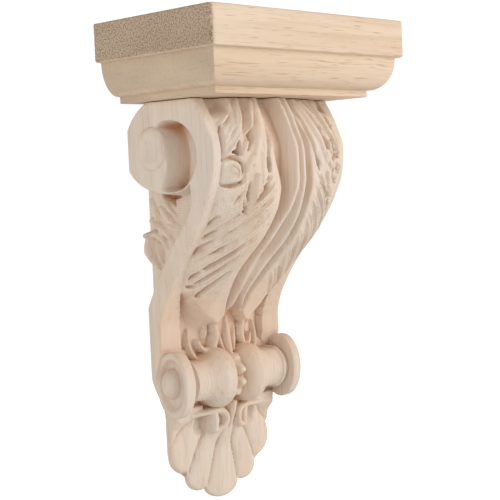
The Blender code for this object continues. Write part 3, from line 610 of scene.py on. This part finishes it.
def quads_across(axis, inside, number):
    """One quad round each grid edge along an axis that passes through the surface."""
    u, v = [k for k in range(3) if k != axis]
    low = [slice(None)] * 3
    high = [slice(None)] * 3
    low[axis] = slice(0, -1)
    high[axis] = slice(1, None)
    edges = np.argwhere(inside[tuple(low)] != inside[tuple(high)])
    edges = edges[(edges[:, u] > 0) & (edges[:, v] > 0)]
    edges = edges[(edges[:, u] < number.shape[u]) & (edges[:, v] < number.shape[v])]
    step_u = np.eye(3, dtype=int)[u]
    step_v = np.eye(3, dtype=int)[v]
    ring = [number[tuple((edges - s).T)] for s in (step_u + step_v, step_v, 0 * step_u, step_u)]
    quads = np.stack(ring, axis=1)
    leaving = inside[tuple(edges.T)]
    flip = leaving if axis != 1 else ~leaving
    quads[~flip] = quads[~flip][:, ::-1]
    return quads


def surface_net(field):
    """Quads over the zero level of a field, with their corners in grid units."""
    inside = field < 0.0
    corners = [(i, j, k) for i in (0, 1) for j in (0, 1) for k in (0, 1)]
    size = np.array(field.shape) - 1
    count = np.zeros(size, np.int8)
    for i, j, k in corners:
        count += inside[i:size[0] + i, j:size[1] + j, k:size[2] + k]
    mixed = (count > 0) & (count < 8)
    cells = np.argwhere(mixed)
    number = np.full(size, -1, np.int64)
    number[mixed] = np.arange(len(cells))
    total = np.zeros((len(cells), 3))
    hits = np.zeros(len(cells))
    for a in corners:
        for b in corners:
            if sum(b) - sum(a) != 1 or any(q < p for p, q in zip(a, b)):
                continue
            at_a = field[tuple((cells + a).T)]
            at_b = field[tuple((cells + b).T)]
            crossing = (at_a < 0.0) != (at_b < 0.0)
            share = np.where(crossing, at_a / np.where(crossing, at_a - at_b, 1.0), 0.0)
            point = np.array(a) + share[:, None] * (np.array(b) - np.array(a))
            total += np.where(crossing[:, None], point, 0.0)
            hits += crossing
    points = cells + total / hits[:, None]
    return points, np.concatenate([quads_across(axis, inside, number) for axis in range(3)])


def read_grid(grid, points):
    """Values of a grid at points between its nodes, by linear steps."""
    base = np.clip(np.floor(points).astype(int), 0, np.array(grid.shape) - 2)
    part = points - base
    value = np.zeros(len(points))
    for i in (0, 1):
        for j in (0, 1):
            for k in (0, 1):
                weight = (part[:, 0] if i else 1 - part[:, 0]) * (part[:, 1] if j else 1 - part[:, 1])
                weight = weight * (part[:, 2] if k else 1 - part[:, 2])
                value += weight * grid[base[:, 0] + i, base[:, 1] + j, base[:, 2] + k]
    return value


def settle_on_surface(field, points):
    """Slide each point along the field's slope until it lies on the zero level."""
    slopes = [np.gradient(field, axis=k).astype(np.float32) for k in range(3)]
    for _ in range(SETTLE_ROUNDS):
        value = read_grid(field, points)
        slope = np.stack([read_grid(s, points) for s in slopes], axis=1)
        move = -value[:, None] * slope / np.maximum((slope**2).sum(axis=1), 0.05)[:, None]
        points = points + np.clip(move, -SETTLE_STEP, SETTLE_STEP)
    return points


def blurred(grid, reach):
    """A box blur, done twice along each axis."""
    for axis in range(3):
        for _ in range(2):
            padded = np.concatenate([np.zeros_like(np.take(grid, [0] * (reach + 1), axis)), grid,
                                     np.zeros_like(np.take(grid, [0] * reach, axis))], axis)
            sums = np.cumsum(padded, axis=axis)
            n = grid.shape[axis]
            upper = np.take(sums, np.arange(2 * reach + 1, 2 * reach + 1 + n), axis)
            lower = np.take(sums, np.arange(0, n), axis)
            grid = (upper - lower) / (2 * reach + 1)
    return grid


def make_mesh(name, vertices, faces):
    data = bpy.data.meshes.new(name)
    data.from_pydata(vertices, [], faces)
    data.update()
    data.shade_smooth()
    made = bpy.data.objects.new(name, data)
    bpy.context.scene.collection.objects.link(made)
    return made


def thin_out(thing, most):
    """Merge the flattest faces until no more than this many triangles are left."""
    thing.data.calc_loop_triangles()
    count = len(thing.data.loop_triangles)
    if count <= most:
        return
    thinner = thing.modifiers.new("fewer_faces", "DECIMATE")
    thinner.ratio = most / count
    seen = thing.evaluated_get(bpy.context.evaluated_depsgraph_get())
    data = bpy.data.meshes.new_from_object(seen)
    thing.modifiers.clear()
    thing.data = data
    data.shade_smooth()


def chip_field(start, shape):
    """Positive inside the chip, over the whole grid."""
    axes = [start[k] + GRID_STEP * np.arange(shape[k]) for k in range(3)]
    q = [((axes[k] - CHIP_AT[k]) / CHIP_SIZE[k])**2 for k in range(3)]
    reach = np.sqrt(q[0][:, None, None] + q[1][None, :, None] + q[2][None, None, :])
    return (1.0 - reach) * min(CHIP_SIZE)


def paint(thing, name, values):
    """Store one value at each corner of a mesh, for its material."""
    layer = thing.data.attributes.new(name, "FLOAT", "POINT")
    layer.data.foreach_set("value", values.astype(np.float32))


def paint_hollow_shade_and_chip(bracket, field, start):
    """Store how closed in each corner is, near and far, as painted shade for cuts and hollows, and how close
    it is to the chip.
    """
    place = np.array([corner.co for corner in bracket.data.vertices]) / MM
    place[:, 1] *= -1.0
    place[:, 2] = ORIGIN_DOWN - place[:, 2]
    points = (place - start) / GRID_STEP
    solid = (field < 0.0).astype(np.float32)
    for name, reach in (("crevice_shade", CREVICE_REACH), ("recess_shade", RECESS_REACH)):
        paint(bracket, name, read_grid(blurred(solid, round(reach / GRID_STEP)), points))
    reach = np.sqrt((((place - CHIP_AT) / CHIP_SIZE)**2).sum(axis=1))
    paint(bracket, "chip", ease(CHIP_SPREAD, 1.0, reach))


def carve_bracket(material):
    """The whole carved bracket as one mesh, mirrored from its right half."""
    across, out, down, half = carved_field()
    field = np.concatenate([half[:0:-1], half]).astype(np.float32)
    start = np.array((-across[-1], out[0], down[0]))
    field = np.maximum(field, chip_field(start, field.shape)).astype(np.float32)
    points, quads = surface_net(field)
    points = settle_on_surface(field, points)
    place = (start + points * GRID_STEP) * MM
    place[:, 1] *= -1.0
    place[:, 2] = ORIGIN_DOWN * MM - place[:, 2]
    bracket = make_mesh("carved_bracket_wood", place.tolist(), quads.tolist())
    thin_out(bracket, MOST_TRIANGLES)
    paint_hollow_shade_and_chip(bracket, field, start)
    bracket.data.materials.append(material)
    return bracket


def cap_ring(inset, down):
    """One level of the cap: back on the wall, front corners rounded."""
    half = CAP_WIDTH / 2 - inset
    front = CAP_DEPTH - inset
    radius = max(SLAB_CORNER - 0.5 * inset, 0.8)
    points = [(-half, 0.0), (-half, front * 0.5)]
    for turn in np.linspace(0.0, 90.0, 9):
        c = math.cos(math.radians(turn))
        s = math.sin(math.radians(turn))
        points.append((-half + radius * (1 - c), front - radius * (1 - s)))
    points += [(-x, y) for x, y in reversed(points)]
    return [(x * MM, -y * MM, (ORIGIN_DOWN - down) * MM) for x, y in points]


def cap_profile():
    """Inset and level down the cap's edge, from its top to its foot."""
    profile = [(TOP_ROUND - TOP_ROUND * math.sin(t), TOP_ROUND - TOP_ROUND * math.cos(t))
               for t in np.linspace(0.0, math.pi / 2, 5)]
    profile += [(0.0, SLAB_HEIGHT - 1.0), (0.3, SLAB_HEIGHT - 0.3), (1.0, SLAB_HEIGHT)]
    profile += [(STEP_IN - 0.2, SLAB_HEIGHT + 0.1), (STEP_IN, SLAB_HEIGHT + 0.5)]
    for turn in np.linspace(8.0, 90.0, 16):
        inset = STEP_IN + (OVOLO_FOOT_IN - STEP_IN) * (1 - math.cos(math.radians(turn)))
        drop = (OVOLO_FOOT_DOWN - SLAB_HEIGHT) * math.sin(math.radians(turn))
        profile.append((inset, SLAB_HEIGHT + drop))
    profile += [(FILLET_IN - 0.1, OVOLO_FOOT_DOWN + 0.1), (FILLET_IN, OVOLO_FOOT_DOWN + 0.4)]
    profile += [(FILLET_IN, CAP_HEIGHT - 0.3), (FILLET_IN + 0.3, CAP_HEIGHT)]
    return profile


def shape_cap(material):
    """The moulded cap: rings joined down its edge, closed at the top and the foot."""
    rings = [cap_ring(inset, down) for inset, down in cap_profile()]
    count = len(rings[0])
    vertices = [point for ring in rings for point in ring]
    faces = []
    for row in range(len(rings) - 1):
        for i in range(count):
            j = (i + 1) % count
            above, below = row * count, (row + 1) * count
            faces.append((above + i, above + j, below + j, below + i))
    last = (len(rings) - 1) * count
    faces.append(list(reversed(range(count))))
    faces.append([last + i for i in range(count)])
    cap = make_mesh("cap_wood", vertices, faces)
    mesh = bmesh.new()
    mesh.from_mesh(cap.data)
    bmesh.ops.recalc_face_normals(mesh, faces=mesh.faces)
    mesh.to_mesh(cap.data)
    mesh.free()
    cap.data.shade_smooth()
    cap.data.set_sharp_from_angle(angle=math.radians(28.0))
    cap.data.materials.append(material)
    return cap


class Nodes:
    """Short calls for building one material's node tree."""

    def __init__(self, name, roughness):
        self.material = bpy.data.materials.new(name)
        self.material.use_nodes = True
        self.tree = self.material.node_tree
        self.shader = self.tree.nodes["Principled BSDF"]
        self.shader.inputs["Roughness"].default_value = roughness
        self.shader.inputs["Specular IOR Level"].default_value = 0.3
        self.coordinates = self.tree.nodes.new("ShaderNodeTexCoord").outputs["Object"]

    def link(self, start, end):
        self.tree.links.new(start, end)

    def stretched(self, scale):
        node = self.tree.nodes.new("ShaderNodeMapping")
        node.inputs["Scale"].default_value = scale
        self.link(self.coordinates, node.inputs["Vector"])
        return node.outputs["Vector"]

    def noise(self, scale, size, detail, roughness):
        node = self.tree.nodes.new("ShaderNodeTexNoise")
        node.inputs["Scale"].default_value = size
        node.inputs["Detail"].default_value = detail
        node.inputs["Roughness"].default_value = roughness
        self.link(self.stretched(scale), node.inputs["Vector"])
        return node.outputs["Fac"]

    def remap(self, value, low, high, start=0.0, end=1.0):
        node = self.tree.nodes.new("ShaderNodeMapRange")
        node.inputs["From Min"].default_value = low
        node.inputs["From Max"].default_value = high
        node.inputs["To Min"].default_value = start
        node.inputs["To Max"].default_value = end
        self.link(value, node.inputs["Value"])
        return node.outputs["Result"]

    def maths(self, operation, a, b=0.0):
        node = self.tree.nodes.new("ShaderNodeMath")
        node.operation = operation
        for socket, value in zip(node.inputs, (a, b)):
            if isinstance(value, (int, float)):
                socket.default_value = value
            else:
                self.link(value, socket)
        return node.outputs["Value"]

    def mix(self, share, a, b):
        node = self.tree.nodes.new("ShaderNodeMix")
        node.data_type = "RGBA"
        for socket, value in ((node.inputs["Factor"], share), (node.inputs["A"], a), (node.inputs["B"], b)):
            if isinstance(value, (int, float, tuple)):
                socket.default_value = value
            else:
                self.link(value, socket)
        return node.outputs["Result"]

    def attribute(self, name):
        node = self.tree.nodes.new("ShaderNodeAttribute")
        node.attribute_name = name
        return node.outputs["Fac"]

    def parts(self, vector):
        node = self.tree.nodes.new("ShaderNodeSeparateXYZ")
        self.link(vector, node.inputs["Vector"])
        return node.outputs["X"], node.outputs["Y"], node.outputs["Z"]

    def sideways(self, low, high):
        """1 where the surface faces left or right."""
        node = self.tree.nodes.new("ShaderNodeTexCoord")
        aside = self.parts(node.outputs["Normal"])[0]
        return self.remap(self.maths("ABSOLUTE", aside), low, high)

    def lerp(self, share, a, b):
        return self.maths("ADD", a, self.maths("MULTIPLY", share, self.maths("SUBTRACT", b, a)))

    def tool_marks(self):
        """Gentle waves from the slanting passes of the cutter, on both sides of the leaf."""
        x, _, z = self.parts(self.coordinates)
        aside = self.maths("ABSOLUTE", x)
        level = self.maths("ADD", z, self.maths("MULTIPLY", aside, TOOL_SLANT))
        wave = self.maths("SINE", self.maths("MULTIPLY", level, 2.0 * math.pi / (TOOL_PASS * MM)))
        low, high = TOOL_LEVELS
        inside = self.remap(z, (low - 8.0) * MM, low * MM)
        inside = self.maths("MULTIPLY", inside, self.remap(z, (high + 5.0) * MM, high * MM))
        for low, high in (TOOL_INNER, TOOL_OUTER):
            inside = self.maths("MULTIPLY", inside, self.remap(aside, low * MM, high * MM))
        return self.maths("MULTIPLY", wave, inside)

    def bump(self, height):
        node = self.tree.nodes.new("ShaderNodeBump")
        node.inputs["Distance"].default_value = BUMP_DISTANCE
        node.inputs["Strength"].default_value = BUMP_STRENGTH
        self.link(height, node.inputs["Height"])
        self.link(node.outputs["Normal"], self.shader.inputs["Normal"])


def linear(level):
    """One channel of a screen colour, 0 to 255, as the linear value that shaders take."""
    share = level / 255.0
    return share / 12.92 if share <= 0.04045 else ((share + 0.055) / 1.055)**2.4


def colour(screen):
    return tuple(linear(level) for level in screen) + (1.0,)


def carved_wood():
    """Pale upright grain, with painted shade browning the cuts and hollows, and the neck on its front and
    back.
    """
    n = Nodes("raw_carved_wood", 0.8)
    grain = n.noise((1.0, 1.0, 0.035), 900.0, 3.0, 0.6)
    streaks = n.noise((1.0, 1.0, 0.06), 160.0, 4.0, 0.55)
    patches = n.noise((1.0, 1.0, 0.5), 38.0, 2.0, 0.5)
    base = n.mix(n.remap(patches, 0.35, 0.65), colour(WOOD_WARM), colour(WOOD_COOL))
    base = n.mix(n.remap(streaks, 0.35, 0.7, 0.0, 0.55), base, colour(WOOD_STREAK))
    base = n.mix(n.remap(grain, 0.52, 0.72, 0.0, 0.35), base, colour(WOOD_GRAIN))
    sideways = n.sideways(0.75, 0.95)
    # Painted shade: the recess colour darkens hollows by how closed in they are, less on faces that look
    # left or right
    front_recess_shade = n.remap(n.attribute("recess_shade"), 0.55, 0.78, 0.0, 0.9)
    side_recess_shade = n.remap(n.attribute("recess_shade"), 0.68, 0.84, 0.0, 0.8)
    base = n.mix(n.lerp(sideways, front_recess_shade, side_recess_shade), base, colour(RECESS_SHADE))
    height = n.parts(n.coordinates)[2]
    # Painted shade: the neck colour browns the neck hollow's front- and back-facing faces, more where they
    # are closed in
    neck = n.remap(sideways, 1.0, 0.0)
    for low, high in (NECK_SHADE_TOP, NECK_SHADE_FOOT):
        neck = n.maths("MULTIPLY", neck, n.remap(height, low * MM, high * MM))
    base = n.mix(n.maths("MULTIPLY", neck, n.lerp(front_recess_shade, 0.28, 0.6)), base, colour(NECK_SHADE))
    # Painted shade: the crevice colour darkens the fine cuts
    crevice_shade_share = n.remap(n.attribute("crevice_shade"), 0.58, 0.78, 0.0, 0.6)
    base = n.mix(crevice_shade_share, base, colour(CREVICE_SHADE))
    base = n.mix(n.maths("MULTIPLY", n.attribute("chip"), 0.7), base, colour(WOOD_CHIP))
    n.link(base, n.shader.inputs["Base Color"])
    tools = n.tool_marks()
    lift = n.maths("ADD", grain, n.maths("MULTIPLY", streaks, 1.5))
    n.bump(n.maths("ADD", lift, n.maths("MULTIPLY", tools, 0.8)))
    return n.material


def cap_wood():
    """Long grain on the front, end grain on the sides: rough on the slab, smoother below."""
    n = Nodes("raw_cap_wood", 0.74)
    broad = n.noise((0.05, 1.0, 1.0), 110.0, 3.0, 0.5)
    streaks = n.noise((0.03, 1.0, 1.0), 480.0, 4.0, 0.6)
    vessels = n.noise((0.045, 1.0, 1.0), 2000.0, 1.0, 0.4)
    along = n.mix(n.remap(broad, 0.35, 0.65, 0.0, 0.8), colour(CAP_PALE), colour(CAP_DEEP))
    along = n.mix(n.remap(streaks, 0.45, 0.72, 0.0, 0.5), along, colour(CAP_STREAK))
    along = n.mix(n.remap(vessels, 0.62, 0.7, 0.0, 0.45), along, colour(CAP_VESSEL))
    pits = n.noise((1.0, 1.0, 1.0), 1500.0, 2.0, 0.65)
    rings = n.noise((1.0, 0.3, 1.0), 70.0, 3.0, 0.5)
    height = n.parts(n.coordinates)[2]
    slab_foot = ORIGIN_DOWN - SLAB_HEIGHT
    on_slab = n.remap(height, (slab_foot - 0.5) * MM, (slab_foot + 0.5) * MM)
    rough = n.remap(pits, 0.45, 0.62, 0.0, 0.85)
    smooth = n.remap(pits, 0.56, 0.68, 0.0, 0.3)
    dark = n.lerp(on_slab, smooth, rough)
    across = n.mix(n.remap(rings, 0.35, 0.65), colour(END_PALE), colour(END_DEEP))
    across = n.mix(dark, across, colour(END_PIT))
    end = n.sideways(0.45, 0.7)
    n.link(n.mix(end, along, across), n.shader.inputs["Base Color"])
    lift = n.maths("ADD", streaks, n.maths("MULTIPLY", n.maths("MULTIPLY", end, dark), -2.5))
    n.bump(lift)
    return n.material


def place_camera():
    """The photograph's viewpoint, with its slight tilt."""
    turn = math.radians(CAMERA_TURN)
    height = math.radians(CAMERA_HEIGHT)
    roll = math.radians(CAMERA_ROLL)
    level = math.cos(height)
    back = Vector((math.sin(turn) * level, -math.cos(turn) * level, math.sin(height)))
    right = Vector((math.cos(turn), math.sin(turn), 0.0))
    up = back.cross(right)
    turned_right = right * math.cos(roll) + up * math.sin(roll)
    turned_up = up * math.cos(roll) - right * math.sin(roll)
    data = bpy.data.cameras.new("camera")
    data.sensor_width = 36.0
    data.lens = CAMERA_LENS
    data.clip_end = 20.0
    camera = bpy.data.objects.new("camera", data)
    bpy.context.scene.collection.objects.link(camera)
    facing = Matrix((turned_right, turned_up, back)).transposed()
    place = (*CAMERA_AT, ORIGIN_DOWN * MM - CAMERA_BELOW_TOP)
    camera.matrix_world = Matrix.Translation(place) @ facing.to_4x4()
    bpy.context.scene.camera = camera


def area_light(name, place, side, power, tint):
    """A square lamp that faces the corbel."""
    data = bpy.data.lights.new(name, "AREA")
    data.shape = "RECTANGLE"
    data.size = side
    data.size_y = side
    data.energy = power
    data.color = tint
    lamp = bpy.data.objects.new(name, data)
    bpy.context.scene.collection.objects.link(lamp)
    lamp.location = place
    direction = Vector(LIGHT_TARGET) - lamp.location
    lamp.rotation_euler = direction.to_track_quat("-Z", "Y").to_euler()


def light_studio():
    """Two soft lamps and a white surround, which is brighter where it is seen directly."""
    area_light("key", KEY_AT, KEY_SIDE, KEY_POWER, KEY_TINT)
    area_light("fill", FILL_AT, FILL_SIDE, FILL_POWER, FILL_TINT)
    world = bpy.data.worlds.new("studio")
    world.use_nodes = True
    tree = world.node_tree
    surroundings = tree.nodes["Background"]
    surroundings.inputs["Color"].default_value = (1.0, 1.0, 1.0, 1.0)
    surroundings.inputs["Strength"].default_value = SURROUND_LIGHT
    seen = tree.nodes.new("ShaderNodeBackground")
    seen.inputs["Color"].default_value = (1.0, 1.0, 1.0, 1.0)
    seen.inputs["Strength"].default_value = BACKDROP_LIGHT
    path = tree.nodes.new("ShaderNodeLightPath")
    choose = tree.nodes.new("ShaderNodeMixShader")
    tree.links.new(path.outputs["Is Camera Ray"], choose.inputs["Fac"])
    tree.links.new(surroundings.outputs["Background"], choose.inputs[1])
    tree.links.new(seen.outputs["Background"], choose.inputs[2])
    tree.links.new(choose.outputs["Shader"], tree.nodes["World Output"].inputs["Surface"])
    bpy.context.scene.world = world
    bpy.context.scene.view_settings.view_transform = "Standard"


def lay_floor():
    """A pale floor, a little darker under the corbel than far away: it glows with painted light far out, and
    the glow fades away under the corbel, leaving a painted shadow pool.
    """
    corners = ((-1, -1), (1, -1), (1, 1), (-1, 1))
    corners = [(x * FLOOR_SIDE, y * FLOOR_SIDE, FLOOR_LEVEL) for x, y in corners]
    floor = make_mesh("floor", corners, [(0, 1, 2, 3)])
    n = Nodes("pale_floor", 0.9)
    n.shader.inputs["Base Color"].default_value = (0.8, 0.8, 0.8, 1.0)
    n.shader.inputs["Specular IOR Level"].default_value = 0.0
    n.shader.inputs["Emission Color"].default_value = (1.0, 1.0, 1.0, 1.0)
    reach = n.tree.nodes.new("ShaderNodeVectorMath")
    reach.operation = "LENGTH"
    n.link(n.coordinates, reach.inputs[0])
    painted_glow = n.remap(reach.outputs["Value"], *FLOOR_FADE, 0.0, FLOOR_PAINTED_GLOW)
    n.link(painted_glow, n.shader.inputs["Emission Strength"])
    floor.data.materials.append(n.material)


def main():
    place_camera()
    bracket = carve_bracket(carved_wood())
    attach(bracket, "root")
    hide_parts("carved_bracket")
    cap = shape_cap(cap_wood())
    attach(cap, "root")
    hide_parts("cap")
    light_studio()
    lay_floor()


main()
